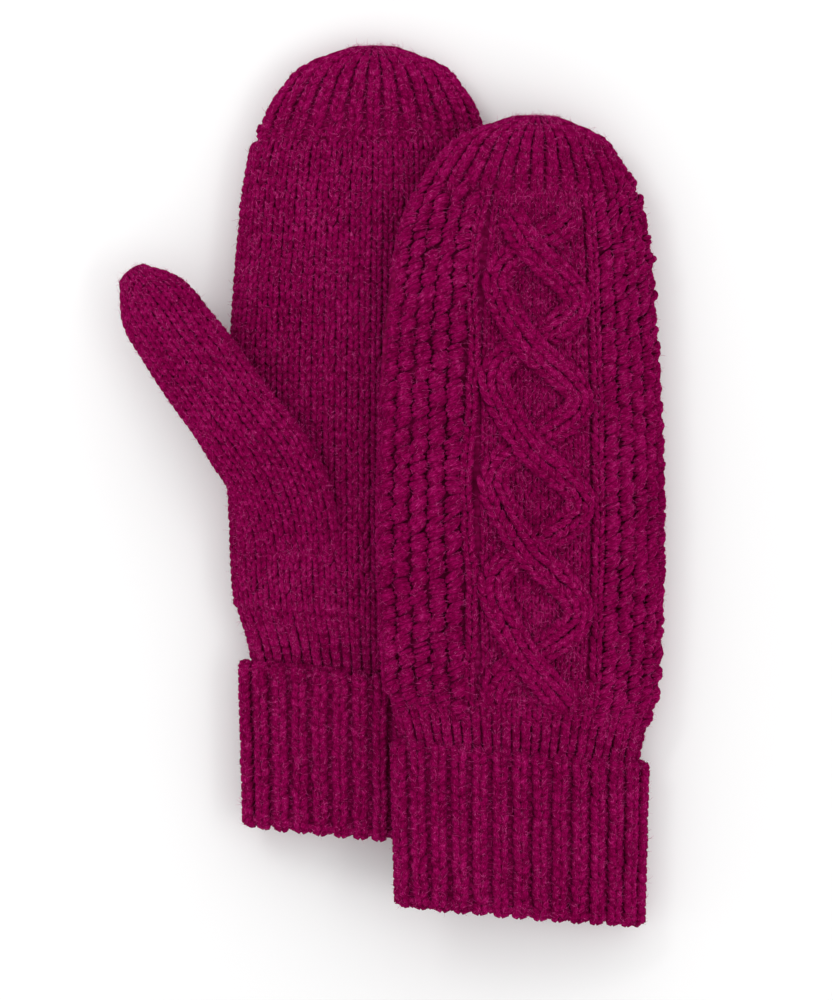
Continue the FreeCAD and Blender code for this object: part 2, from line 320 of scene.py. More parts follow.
def oval_skin(name, reach, half_width, half_thick, skew, angle):
    """Points of the outer skin round one flattened oval cross-section."""
    side = SIDES[name]
    roll = side["roll"]
    share = reach / LENGTH
    middle_x = side["centre_x"] + side["tip_drift"] * share ** 10
    middle_y = side["fold_y"] + reach + min(0.0, WRIST_REACH - reach) * (1.0 - side["stretch"])
    middle_z = side["wrist_rise"] + (side["tip_rise"] - side["wrist_rise"]) * share
    across = half_width * np.cos(angle)
    half = half_thick * np.abs(np.sin(angle))
    height = middle_z - across * math.sin(roll)
    x = middle_x + across * math.cos(roll)
    tangent = math.tan(math.radians(skew))
    least = 2.0 * half * LEAST_FULLNESS
    low = height - half * math.cos(roll)
    high = height + half * math.cos(roll)
    if name == "left":
        ground = -FLOOR_PRESS if reach >= WRIST_REACH else 0.0
        high = -soft_max(-high, -contact_height(x + half * math.sin(roll)))
        low = soft_max(np.minimum(low, high - least), ground)
    else:
        y = middle_y - across * tangent
        lying = contact_height(x - half * math.sin(roll)) + LYING_GAP
        limit = np.maximum(0.0, lying + thumb_room(x - half * math.sin(roll), y))
        low = soft_max(low, limit)
        high = np.maximum(high, low + least)
    at_edge = half < 1e-3
    middle = 0.5 * (low + high)
    low = np.where(at_edge, middle, low)
    high = np.where(at_edge, middle, high)
    under = np.sin(angle) < 0
    sideways = across * math.cos(roll) + np.where(under, -half, half) * math.sin(roll)
    z = np.maximum(np.where(under, low, high), 0.0)
    return np.stack([middle_x + sideways, middle_y - sideways * tangent, z], axis=-1)


def draw_together(section, angle, share, forward):
    """Close an end over its middle, as the gathered tip does; share runs from 0 to 1."""
    skin = section(angle)
    if share <= 0.0:
        return skin
    middle = section(WHOLE_TURN).mean(axis=0)
    left = math.sqrt(max(0.0, 1.0 - share * share))
    return middle + (skin - middle) * max(left, TIP_CLOSED) + forward * share


def hand_skin(name):
    side = SIDES[name]

    def points(reach, angle):
        on_hand = min(reach, LENGTH)
        width, thick, skew = through(HAND_STATIONS, np.array(on_hand))

        def section(angles):
            return oval_skin(name, on_hand, width * side["breadth"], thick * side["fullness"],
                             skew, angles)
        return draw_together(section, angle, (reach - LENGTH) / CAP, TIP_FORWARD)
    return points


def cuff_skin(name, widths, depth):
    def points(reach, angle):
        width = widths[0] + (widths[1] - widths[0]) * reach / CUFF_DEPTH
        return oval_skin(name, reach, width - depth, CUFF_HALF_THICK - depth, CUFF_SKEW, angle)
    return points


def thumb_turned(name, local):
    """From the thumb's own frame to the pair's."""
    thumb = THUMBS[name]
    cos, sin = math.cos(thumb["turn"]), math.sin(thumb["turn"])
    x = local[..., 0] * cos - local[..., 1] * sin
    y = local[..., 0] * sin + local[..., 1] * cos
    z = local[..., 2]
    cos, sin = math.cos(thumb["lean"]), math.sin(thumb["lean"])
    return np.stack([x * cos + z * sin, y, z * cos - x * sin], axis=-1)


def thumb_skin(name):
    thumb = THUMBS[name]

    def points(reach, angle):
        on_thumb = min(reach, THUMB_REACH)
        girth = through(THUMB_STATIONS, np.array(on_thumb / THUMB_REACH))[0]
        half_width = THUMB_HALF_WIDTH * girth
        half_thick = thumb["half_thick"] * (THUMB_LEAST_THICK + (1.0 - THUMB_LEAST_THICK) * girth)
        middle = thumb["half_thick"] + THUMB_CLEARANCE

        def section(angles):
            local = np.stack([half_width * np.cos(angles), np.full(angles.shape, on_thumb),
                              middle + half_thick * np.sin(angles)], axis=-1)
            return np.array(thumb["base"]) + thumb_turned(name, local)
        forward = thumb_turned(name, TIP_FORWARD)
        return draw_together(section, angle, (reach - THUMB_REACH) / CAP, forward)
    return points


def gusset_skin(palm):
    """The left thumb's skin with the gusset below it that rises out of the palm."""
    free = thumb_skin("left")
    thumb_turn = THUMBS["left"]["turn"]
    fold_y = SIDES["left"]["fold_y"]
    start = free(GUSSET_LAST, WHOLE_TURN).mean(axis=0)
    places = np.linspace(GUSSET_LAST, GUSSET_FIRST, 125)
    heading = thumb_turn * smooth_step(places, GUSSET_TURNS_FROM, GUSSET_LAST)
    step = np.diff(places)
    spine_x = np.cumsum(np.concatenate([[start[0]], -np.sin(heading[1:]) * step]))
    spine_y = np.cumsum(np.concatenate([[start[1]], np.cos(heading[1:]) * step]))

    def points(reach, angle):
        if reach >= GUSSET_LAST:
            return free(reach, angle)
        risen = float(smooth_step(np.array(reach), GUSSET_RISES_FROM, GUSSET_LAST))
        at = -reach
        x = np.interp(at, -places, spine_x)
        y = np.interp(at, -places, spine_y)
        turn = np.interp(at, -places, heading)
        top = free(GUSSET_LAST, angle)
        off = top - start
        cos, sin = math.cos(thumb_turn), math.sin(thumb_turn)
        across = off[:, 0] * cos + off[:, 1] * sin
        ahead = (off[:, 1] * cos - off[:, 0] * sin) * risen
        across = across * (risen + (1.0 - risen) * GUSSET_HALF_WIDTH / THUMB_HALF_WIDTH)

        # its left half stays inside the palm's edge until the thumb leaves the palm
        freed = float(smooth_step(np.array(reach), GUSSET_FREE_FROM, GUSSET_LAST))
        room = GUSSET_FREE_ROOM * freed - GUSSET_INSET
        middle = x - GUSSET_SHIFT * (1.0 - risen)
        widest = middle + across.min() * math.cos(turn)
        allowed = max(widest, float(palm.left_edge(y - fold_y)) - room)
        across = np.where(across < 0.0, across * (middle - allowed) / (middle - widest), across)

        px = middle + across * math.cos(turn) - ahead * math.sin(turn)
        py = y + across * math.sin(turn) + ahead * math.cos(turn)
        under = np.sin(angle) < 0
        depth = np.where(under, GUSSET_UNDER, GUSSET_SINK * (1.0 - risen))
        sunk = palm.top_height(px, py - fold_y) - depth
        dome = GUSSET_DOME * np.sqrt(np.maximum(0.0, np.sin(angle))) * risen * (1.0 - risen)
        z = sunk * (1.0 - risen) + top[:, 2] * risen + np.where(under, 0.0, dome)
        return np.stack([px, py, np.maximum(z, GUSSET_LOWEST)], axis=-1)
    return points


class Ring:
    """A tube of fabric, sampled evenly round and along, that knitting is laid on.
    share runs round it from 0 to 1: the upper side is 0 to 0.5, from +X to -X."""

    def __init__(self, point_at, first, last, rows=180, columns=256):
        self.first = first
        self.last = last
        self.rows = rows
        self.columns = columns
        half_turn = np.linspace(0.0, math.pi, 361)
        grid = []
        for reach in np.linspace(first, last, rows):
            sides = []
            for start in (0.0, math.pi):
                dense = point_at(reach, half_turn + start)
                steps = np.linalg.norm(np.diff(dense, axis=0), axis=1)
                length = np.concatenate([[0.0], np.cumsum(steps)])
                even = np.linspace(0.0, length[-1], columns // 2 + 1)[:-1]
                sides.append(np.stack([np.interp(even, length, dense[:, k]) for k in range(3)], 1))
            grid.append(np.concatenate(sides))
        self.points = np.array(grid)
        for _ in range(2):
            around = np.roll(self.points, 1, 1) + np.roll(self.points, -1, 1)
            self.points = 0.5 * self.points + 0.25 * around
        along = np.gradient(self.points, axis=0)
        around = np.roll(self.points, -1, 1) - np.roll(self.points, 1, 1)
        self.normals = unit(np.cross(along, around))

    def _mix(self, field, share, reach):
        u = np.mod(share, 1.0) * self.columns
        v = np.minimum((reach - self.first) / (self.last - self.first), 1.0) * (self.rows - 1)
        column = np.floor(u).astype(int)
        row = np.clip(np.floor(v).astype(int), 0, self.rows - 2)
        fu = (u - column)[..., None]
        fv = (v - row)[..., None]
        column %= self.columns
        after = (column + 1) % self.columns
        low = field[row, column] * (1.0 - fu) + field[row, after] * fu
        high = field[row + 1, column] * (1.0 - fu) + field[row + 1, after] * fu
        return low * (1.0 - fv) + high * fv

    def at(self, share, reach, height):
        """Points height above the skin, and the outward direction there."""
        normal = unit(self._mix(self.normals, share, reach))
        return self._mix(self.points, share, reach) + normal * np.asarray(height)[..., None], normal

    def girth(self, reach):
        """Length of one half of the way round, the upper side."""
        share = np.linspace(0.0, 0.5, 65)
        points = self._mix(self.points, share, np.full(share.shape, reach))
        return np.linalg.norm(np.diff(points, axis=0), axis=1).sum()

    def top_height(self, x, reach):
        """Height of the upper side over points given by x and reach."""
        count = self.columns // 2 + 1
        v = (reach - self.first) / (self.last - self.first) * (self.rows - 1)
        row = np.clip(np.round(v).astype(int), 0, self.rows - 1)
        height = np.empty(len(x))
        for value in np.unique(row):
            mine = row == value
            upper = self.points[value, :count]
            height[mine] = np.interp(-x[mine], -upper[:, 0], upper[:, 2])
        return height

    def left_edge(self, reach):
        """The lowest x of the tube at each reach."""
        places = np.linspace(self.first, self.last, self.rows)
        return np.interp(reach, places, self.points[:, :, 0].min(axis=1))

    def share_at(self, x, reach):
        """The place on the upper side that is seen from above at this x."""
        share = np.linspace(0.0, 0.5, 257)
        points = self._mix(self.points, share, np.full(share.shape, reach))
        return np.interp(-x, -points[:, 0], share)


# ------------------------------------------------------------------ lengths of yarn

# along one length of yarn: where its six points are, how thick it is there, and how far a knit
# leg or a purl bar dives under its neighbours at both ends
LEG_TIMES = np.array([0.0, 0.13, 0.38, 0.64, 0.88, 1.0])
LEG_GIRTH = np.array([0.12, 0.78, 1.0, 1.0, 0.78, 0.12])
LEG_LIFT = np.array([-0.95, -0.35, 0.0, -0.1, -0.7, -1.4])
BAR_LIFT = np.array([-1.3, -0.45, 0.0, 0.0, -0.45, -1.3])
GATHER_GIRTH = np.array([0.2, 0.8, 1.0, 1.0, 0.9, 0.6])


def upright(*fields):
    """Each field as a column, one value for every stitch, to set against a yarn's six points."""
    return [np.asarray(field, dtype=float)[:, None] for field in np.broadcast_arrays(*fields)]


class Yarns:
    """Many short lengths of yarn, each along six points given as share, reach, height and radius.
    A stitch's share, reach, height and radius are arrays, or one number for all the stitches."""

    def __init__(self):
        self.parts = []

    def add(self, share, reach, height, radius):
        self.parts.append(np.stack(np.broadcast_arrays(share, reach, height, radius), axis=-1))

    def fields(self):
        joined = np.concatenate(self.parts)
        return [joined[..., k] for k in range(4)]

    def knit(self, share, reach, pitch, course, height, radius):
        """The two legs of each knit stitch, a V open to the tip."""
        share, reach, pitch, height, radius = upright(share, reach, pitch, height, radius)
        count = len(share)
        wobble = rng.normal(0.0, 0.05, (4, count, 1))
        for sign in (-1.0, 1.0):
            slant = 0.07 + 0.36 * LEG_TIMES ** 0.9
            across = share + pitch * (sign * slant + wobble[0])
            along = reach + course * (-0.25 + 1.5 * LEG_TIMES + wobble[1])
            thick = radius * (1.0 + wobble[2] + rng.normal(0.0, 0.05, (count, 1)))
            lift = height - thick + thick * LEG_LIFT + wobble[3]
            self.add(across, along, lift, thick * LEG_GIRTH)

    def purl(self, share, reach, pitch, course, height, radius):
        """The bar across each purl stitch."""
        share, reach, pitch, height, radius = upright(share, reach, pitch, height, radius)
        wobble = rng.normal(0.0, 0.05, (3, len(share), 1))
        across = share + pitch * 1.15 * (LEG_TIMES - 0.5)
        along = reach + course * (0.22 * np.sin(math.pi * LEG_TIMES) + wobble[0])
        thick = radius * (1.0 + wobble[1])
        lift = height - thick + thick * BAR_LIFT + wobble[2]
        self.add(across, along, lift, thick * LEG_GIRTH)

    def bead(self, share, reach, millimetre, width, tall, height, radius):
        """A moss-stitch bead: a round lump of short strands that rise to the right."""
        share, reach, radius = upright(share, reach, radius)
        count = len(share)
        drift = rng.normal(0.0, 0.3, (2, count, 1))
        tilt = rng.normal(0.50, 0.13, (count, 1))
        for step in BEAD_STRANDS:
            wobble = rng.normal(0.0, 0.16, (3, count, 1))
            rise = (tilt - 0.06 * step) * (LEG_TIMES - 0.5)
            along = reach + tall * (0.225 * step + rise) + drift[0] + wobble[0]
            wide = -width * (1.10 - 0.14 * abs(step))
            across = wide * (LEG_TIMES - 0.5) + 0.3 * step + drift[1] + wobble[1]
            thick = radius * (1.04 - 0.08 * abs(step) + rng.normal(0.0, 0.09, (count, 1)))
            dome = 0.75 - 0.42 * abs(step) + 0.25 * rng.normal(0.0, 1.0, (count, 1))
            lift = height + dome - thick + thick * BAR_LIFT * 1.3 + wobble[2]
            self.add(share + millimetre * across, along, lift, thick * LEG_GIRTH)


def make_mesh(name, verts, faces, layers=None):
    """An object with one mesh, whose faces all have the same number of corners."""
    mesh = bpy.data.meshes.new(name)
    corners = faces.shape[1]
    mesh.vertices.add(len(verts))
    mesh.vertices.foreach_set("co", (verts * MM).astype(np.float32).ravel())
    mesh.loops.add(faces.size)
    mesh.loops.foreach_set("vertex_index", faces.astype(np.int32).ravel())
    mesh.polygons.add(len(faces))
    mesh.polygons.foreach_set("loop_start", np.arange(len(faces), dtype=np.int32) * corners)
    mesh.polygons.foreach_set("use_smooth", np.ones(len(faces), dtype=bool))
    for key, values in (layers or {}).items():
        layer = mesh.uv_layers.new(name=key)
        layer.data.foreach_set("uv", np.ascontiguousarray(values, dtype=np.float32).ravel())
    mesh.update(calc_edges=True)
    mesh.validate()
    obj = bpy.data.objects.new(name, mesh)
    bpy.context.scene.collection.objects.link(obj)
    return obj


def tube_mesh(name, points, normals, radii, sides=6):
    """One mesh of all the yarns: a closed tube along each row of points. Each tube has a cell of
    its own in the OFBake layer, and its own part of the fibre pattern in the Strand layer."""
    count, length = radii.shape
    points = points.copy()
    points[..., 2] = np.maximum(points[..., 2], radii + YARN_FLOOR)
    tangent = unit(np.gradient(points, axis=1))
    side = unit(np.cross(tangent, normals))
    up = np.cross(side, tangent)
    turn = np.arange(sides) * TAU / sides
    ring = np.cos(turn)[:, None] * side[:, :, None, :] + np.sin(turn)[:, None] * up[:, :, None, :]
    verts = points[:, :, None, :] + radii[:, :, None, None] * ring
    start = (np.arange(count) * length * sides)[:, None, None]
    row = (np.arange(length - 1) * sides)[None, :, None]
    here = np.arange(sides)[None, None, :]
    after = (here + 1) % sides
    corners = [start + row + here, start + row + after, start + row + sides + after,
               start + row + sides + here]
    faces = np.stack(np.broadcast_arrays(*corners), axis=-1).reshape(-1, 4)[:, ::-1]

    around = np.stack(np.broadcast_arrays(here, here + 1, here + 1, here), axis=-1) / sides
    step = np.arange(length - 1)[None, :, None]
    along = np.stack(np.broadcast_arrays(step, step, step + 1, step + 1), axis=-1) / (length - 1)
    u = np.broadcast_to(around, (count, length - 1, sides, 4))
    v = np.broadcast_to(along, (count, length - 1, sides, 4))
    cells = int(math.ceil(math.sqrt(count)))
    cell = np.arange(count)
    column = (cell % cells)[:, None, None, None]
    line = (cell // cells)[:, None, None, None]
    margin = 0.06
    spread = 1.0 - 2.0 * margin
    bake = np.stack([column + margin + u * spread, line + margin + v * spread], -1) / cells
    strand = np.stack([u + column * 3.7, v + line * 5.3], -1)
    layers = {key: value.reshape(-1, 4, 2)[:, ::-1]
              for key, value in (("OFBake", bake), ("Strand", strand))}
    return make_mesh(name, verts.reshape(-1, 3), faces, layers)


def fuzz_mesh(name, points, normals, radii, count):
    """Loose fibres that stand off the yarn, each a thin bent ribbon."""
    strands, length = radii.shape
    strand = rng.integers(0, strands, count)
    place = rng.integers(1, length - 1, count)
    base = points[strand, place]
    normal = normals[strand, place]
    tangent = unit(points[strand, place + 1] - points[strand, place - 1])
    side = unit(np.cross(tangent, normal))
    turn = rng.uniform(-0.9, 0.9, (count, 1))
    out = np.cos(turn) * normal + np.sin(turn) * side
    heading = rng.normal(0.0, 1.0, (count, 3))
    heading = unit(heading - out * (heading * out).sum(1, keepdims=True) + tangent * 0.8)
    reach = FIBRE_LENGTH * rng.uniform(0.35, 1.0, (count, 1))
    rise = rng.uniform(0.05, 0.45, (count, 1)) ** 1.3
    start = base + out * radii[strand, place][:, None] * 0.95
    middle = start + heading * reach * 0.5 + out * reach * rise * 0.7
    bend = unit(rng.normal(0.0, 1.0, (count, 3)))
    end = start + (heading + 0.35 * bend) * reach + out * reach * rise * 0.55
    line = np.stack([start, middle, end], axis=1)
    flat = unit(np.cross(heading, out + 0.5 * bend))
    width = FIBRE_WIDTH * np.array([1.0, 0.8, 0.25])[None, :, None]
    left = line - flat[:, None, :] * width
    right = line + flat[:, None, :] * width
    verts = np.stack([left, right], axis=2).reshape(-1, 3)
    verts[:, 2] = np.maximum(verts[:, 2], YARN_FLOOR)
    first = (np.arange(count) * 6)[:, None]
    faces = np.stack([first + 0, first + 1, first + 3, first + 2,
                      first + 2, first + 3, first + 5, first + 4], axis=-1).reshape(-1, 4)
    cells = int(math.ceil(math.sqrt(count)))
    cell = np.repeat(np.arange(count), 2)
    corner = np.array([[0.1, 0.1], [0.9, 0.1], [0.9, 0.9], [0.1, 0.9]])
    bake = np.stack([(cell % cells)[:, None] + corner[:, 0],
                     (cell // cells)[:, None] + corner[:, 1]], -1) / cells
    return make_mesh(name, verts, faces, {"OFBake": bake})


# ------------------------------------------------------------------ base cloth behind the stitches

def cloth_shell(name, ring, depths, rows=110, columns=120, recess=(0.0, 0.0)):
    """A closed shell: outer and inner layers of the fabric behind the stitches. Where the tube
    is thin, both layers lie nearer to the skin, so that its two faces don't cross."""
    outer, inner = depths
    reach = np.linspace(ring.first + recess[0], ring.last - recess[1], rows)
    share = np.arange(columns) / columns
    reach, share = np.meshgrid(reach, share, indexing="ij")
    place, _ = ring.at(share, reach, 0.0)
    opposite, _ = ring.at(1.0 - share, reach, 0.0)
    edge, _ = ring.at(np.round(2.0 * share) / 2.0, reach, 0.0)
    from_edge = np.linalg.norm(place - edge, axis=-1)
    room = np.linalg.norm(place - opposite, axis=-1)
    room = room + EDGE_ROOM * np.exp(-(from_edge / EDGE_FADE) ** 2)
    thin = np.minimum(1.0, room / (2.0 * inner + LEAST_HOLLOW))
    layers = np.stack([ring.at(share, reach, -depth * thin)[0] for depth in (outer, inner)])
    layers[..., 2] = np.maximum(layers[..., 2], CLOTH_FLOOR)

    here = np.arange(columns)
    after = (here + 1) % columns
    faces = []
    size = rows * columns
    for layer in range(2):
        for row in range(rows - 1):
            low = layer * size + row * columns
            high = low + columns
            quad = np.stack([low + here, low + after, high + after, high + here], 1)
            faces.append(quad[:, ::-1] if layer == 0 else quad)
    rim = np.stack([here, size + here, size + after, after], 1)
    faces.append(rim[:, ::-1])
    top = size - columns
    rim = np.stack([top + here, top + after, top + size + after, top + size + here], 1)
    faces.append(rim[:, ::-1])
    return make_mesh(name, layers.reshape(-1, 3), np.concatenate(faces))


# ------------------------------------------------------------------ materials

def new_material(name, roughness, specular):
    material = bpy.data.materials.new(name)
    material.use_nodes = True
    tree = material.node_tree
    shader = tree.nodes["Principled BSDF"]
    shader.inputs["Roughness"].default_value = roughness
    shader.inputs["Specular IOR Level"].default_value = specular
    return material, tree, shader


def node(tree, kind, **inputs):
    made = tree.nodes.new(kind)
    for key, value in inputs.items():
        made.inputs[key].default_value = value
    return made


def link(tree, source, output, target, socket):
    tree.links.new(source.outputs[output], target.inputs[socket])


def weighted(tree, source, output, weight, added=None):
    """A node for one output times a weight, plus the value of another such node."""
    made = tree.nodes.new("ShaderNodeMath")
    made.operation = "MULTIPLY_ADD" if added else "MULTIPLY"
    made.inputs[1].default_value = weight
    link(tree, source, output, made, 0)
    if added:
        link(tree, added, "Value", made, 2)
    return made


def coloured(tree, source, output, shader, stops):
    """Base colour from one output by a ramp of stops."""
    ramp = tree.nodes.new("ShaderNodeValToRGB")
    while len(ramp.color_ramp.elements) < len(stops):
        ramp.color_ramp.elements.new(0.5)
    for element, (place, colour) in zip(ramp.color_ramp.elements, stops):
        element.position = place
        element.color = (*colour, 1.0)
    link(tree, source, output, ramp, "Fac")
    link(tree, ramp, "Color", shader, "Base Color")


def yarn_material(name):
    """Soft brushed wool: heathered colour, fibres twisted along each strand with painted shade in
    their hollows and painted highlight on their ridges, a sheen of fuzz.
    """
    material, tree, shader = new_material(name, 0.92, 0.0)
    shader.inputs["Sheen Weight"].default_value = 0.12
    shader.inputs["Sheen Roughness"].default_value = 0.45
    shader.inputs["Sheen Tint"].default_value = (*SHEEN, 1.0)
    strand = tree.nodes.new("ShaderNodeUVMap")
    strand.uv_map = "Strand"
    twist = node(tree, "ShaderNodeMapping", Scale=(9.0, 3.0, 1.0), Rotation=(0.0, 0.0, 0.5))
    link(tree, strand, "UV", twist, "Vector")
    fibres = node(tree, "ShaderNodeTexNoise", Scale=3.0, Detail=3.0, Roughness=0.6)
    link(tree, twist, "Vector", fibres, "Vector")
    place = tree.nodes.new("ShaderNodeTexCoord")
    heather = node(tree, "ShaderNodeTexNoise", Scale=420.0, Detail=2.0, Roughness=0.55)
    link(tree, place, "Object", heather, "Vector")
    blotch = node(tree, "ShaderNodeTexNoise", Scale=60.0, Detail=2.0)
    link(tree, place, "Object", blotch, "Vector")
    shade = weighted(tree, blotch, "Fac", 0.10)
    shade = weighted(tree, heather, "Fac", 0.30, shade)
    # the twist noise also drives the bump below, so its low places get painted shade and its high
    # places painted highlight
    shade = weighted(tree, fibres, "Fac", 0.62, shade)
    # ramp from painted shade through the wool's own colour to painted highlight
    coloured(tree, shade, "Value", shader,
             [(0.38, DEEP), (0.50, BODY), (0.60, LIGHT), (0.70, FIBRE_HIGHLIGHT)])
    bump = node(tree, "ShaderNodeBump", Strength=0.55, Distance=0.0006)
    link(tree, fibres, "Fac", bump, "Height")
    link(tree, bump, "Normal", shader, "Normal")
    return material


def cloth_material(name):
    """The depth of the fabric, seen between the stitches and inside the mittens. Its colour is
    painted shade towards the sunk edge of each loop and painted highlight at each loop's raised
    middle.
    """
    material, tree, shader = new_material(name, 0.95, 0.05)
    place = tree.nodes.new("ShaderNodeTexCoord")
    squash = node(tree, "ShaderNodeMapping", Scale=(240.0, 345.0, 240.0))
    link(tree, place, "Object", squash, "Vector")
    loops = node(tree, "ShaderNodeTexVoronoi", Scale=1.0, Randomness=0.35)
    link(tree, squash, "Vector", loops, "Vector")
    # painted shade: darker towards each loop's sunk edge; painted highlight: lighter at its raised
    # middle, in step with the bump
    coloured(tree, loops, "Distance", shader, [(0.1, LIGHT), (0.5, BODY), (0.9, DEEP)])
    bump = node(tree, "ShaderNodeBump", Strength=0.8, Distance=0.001)
    bump.invert = True
    link(tree, loops, "Distance", bump, "Height")
    link(tree, bump, "Normal", shader, "Normal")
    return material


def fuzz_material(name):
    material, tree, shader = new_material(name, 0.8, 0.1)
    place = tree.nodes.new("ShaderNodeTexCoord")
    shade = node(tree, "ShaderNodeTexNoise", Scale=900.0, Detail=1.0)
    link(tree, place, "Object", shade, "Vector")
    # painted highlight: the noise lightens the loose fibres towards a highlight colour
    coloured(tree, shade, "Fac", shader, [(0.35, FUZZ_TONE_AND_HIGHLIGHT[0]), (0.65, FUZZ_TONE_AND_HIGHLIGHT[1])])
    return material


YARN = {slot: yarn_material(slot + "_yarn")
        for slot in ("cable_knit", "plain_knit", "rib_knit", "seam_yarn")}
CLOTH = cloth_material("inner_cloth")
FUZZ = fuzz_material("loose_fibres")


def dress(obj, material, place):
    """Give a piece its material and attach it to its body; a piece that crosses between two bodies
    stays unattached, its transform baked into its mesh.
    """
    obj.data.materials.append(material)
    if isinstance(place, tuple):
        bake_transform(obj)
    else:
        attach(obj, place)


# ------------------------------------------------------------------ patterns

def columns_between(start_share, end_share, count):
    pitch = (end_share - start_share) / count
    return start_share + pitch * (np.arange(count) + 0.5), pitch


def crown_ribs(yarns, ring, start_share, ribs, first):
    """Raised columns that draw together at the tip over one side, with sunk columns between."""
    share, pitch = columns_between(start_share, start_share + 0.5, ribs)
    for reach in np.arange(first, CROWN_LAST, CROWN_COURSE):
        local = 2.0 * ring.girth(reach) * pitch
        radius = float(np.clip(CROWN_RADIUS_SHARE * local, *CROWN_RADII))
        raised = float(smooth_step(np.array(reach), first, first + CROWN_RAMP))
        yarns.knit(share, reach, pitch * KNIT_SHARE, CROWN_STITCH, CROWN_RISE * raised - CROWN_SUNK,
                   radius)
        if local > CROWN_PURL_FROM:
            yarns.purl(share + 0.5 * pitch, reach, pitch * PURL_SHARE, CROWN_STITCH, PURL_HEIGHT,
                       CROWN_PURL_GIRTH * radius)


def wrist_ribs(yarns, start_share, ribs, last, covered=0.0):
    """Narrow gathered columns over one side where the hand goes into the cuff. They sink where
    other stitches cover them."""
    share, pitch = columns_between(start_share, start_share + 0.5, ribs)
    for reach in np.arange(WRIST_REACH - WRIST_OVERLAP, last + covered, WRIST_COURSE):
        drawn_in = 1.0 - float(smooth_step(np.array(reach), WRIST_REACH, last))
        sunk = 0.0
        if covered:
            hidden = smooth_step(np.array(reach), last - WRIST_SINK_LEAD, last + covered)
            sunk = WRIST_SINK * float(hidden)
        crimp = WRIST_CRIMP * drawn_in * np.cos(np.arange(ribs) * math.pi) - sunk
        yarns.knit(share, reach, pitch * (1.0 - WRIST_GATHER * drawn_in), WRIST_STITCH, crimp,
                   WRIST_RADIUS)


def plain_side(yarns, name, ring, start_share):
    """Stocking stitch over one side of a hand, gathered at the wrist and at the tip."""
    side = SIDES[name]
    share, pitch = columns_between(start_share, start_share + 0.5, PALM_WALES)
    wrist_ribs(yarns, start_share, PALM_WALES, side["wrist"])
    for reach in np.arange(side["wrist"], side["crown"], COURSE):
        radius = min(YARN_RADIUS, RADIUS_SHARE * 2.0 * ring.girth(reach) * pitch)
        yarns.knit(share, reach, PLAIN_SHARE * pitch, COURSE, PLAIN_HEIGHT, radius)
    crown_ribs(yarns, ring, start_share, PALM_WALES // 2, side["crown"])


def rib_tube(first, last):
    """One by one rib all the way round: raised knit columns with purl columns sunk between."""
    yarns = Yarns()
    share, pitch = columns_between(0.0, 1.0, RIBS)
    for reach in np.arange(first, last, RIB_COURSE):
        yarns.knit(share, reach, pitch * KNIT_SHARE, RIB_COURSE, RIB_HEIGHT, RIB_RADIUS)
        yarns.purl(share + 0.5 * pitch, reach, pitch * PURL_SHARE, RIB_COURSE, PURL_HEIGHT,
                   RIB_PURL_RADIUS)
    return yarns


def rolled_edges(reach, height, low, high):
    """Bend the ribbing inwards past its low and its high edge."""
    radius = EDGE_ROLL + height
    turn = np.minimum(np.maximum(low - reach, reach - high) / EDGE_ROLL, EDGE_TURN)
    outward = np.where(reach < 0.5 * (low + high), -1.0, 1.0)
    edge = np.where(outward < 0, low, high)
    past = turn > 0.0
    reach = np.where(past, edge + outward * radius * np.sin(turn), reach)
    return reach, np.where(past, radius * np.cos(turn) - EDGE_ROLL, height)


def rope_centre(phase, sign):
    """Across offset, reach and height of one rope of the cable; ropes cross at whole phases."""
    swing = np.sin(math.pi * phase) + sign * SWING_LEAN * np.sin(2.0 * math.pi * phase)
    crossing = np.cos(math.pi * phase)
    across = sign * CABLE_SWING * swing - CROSSING_SHIFT * crossing ** 2
    reach = CABLE_FIRST + CABLE_PITCH * phase - CABLE_TIGHTENING * phase ** 2
    height = ROPE_MIDDLE - sign * ROPE_LIFT * crossing * np.abs(crossing) ** 3
    return across, reach, height


def cable_ropes(yarns, middle, millimetre):
    """Two ropes that swing across each other; each is four columns of slanting legs."""
    fine = np.linspace(*CABLE_PHASES, 1200)
    for sign in (-1.0, 1.0):
        across, reach, height = rope_centre(fine, sign)
        steps = np.hypot(np.diff(across), np.diff(reach))
        length = np.concatenate([[0.0], np.cumsum(steps)])
        heading = unit(np.stack([np.gradient(across), np.gradient(reach)], -1))
        for index, offset in enumerate(ROPE_COLUMNS):
            start = np.arange(0.0, length[-1] - ROPE_LEG, ROPE_STEP) + ROPE_STAGGER * index
            start = start + rng.normal(0.0, 0.25, start.shape)
            at = start[:, None] + ROPE_LEG * LEG_TIMES
            slant = ROPE_SLANT if index % 2 else -ROPE_SLANT
            side = offset * ROPE_HALF + slant * (LEG_TIMES - 0.5)
            side = side + rng.normal(0.0, 0.2, (len(start), 1))
            x = np.interp(at, length, across) + side * np.interp(at, length, heading[:, 1])
            y = np.interp(at, length, reach) - side * np.interp(at, length, heading[:, 0])
            crown = ROPE_CROWN * (1.0 - (side / ROPE_ROUND) ** 2)
            grown = smooth_step(at, 0.0, ROPE_FADES[0])
            ends = grown * (1.0 - smooth_step(at, length[-1] - ROPE_FADES[1], length[-1]))
            rope = np.interp(at, length, height) + crown + ROPE_ABOVE
            lift = rope * ends - ROPE_SUNK + LEG_LIFT
            radius = ROPE_RADIUS * LEG_GIRTH * (1.0 + rng.normal(0.0, 0.07, (len(start), 1)))
            yarns.add(middle - x * millimetre, y, lift, radius)


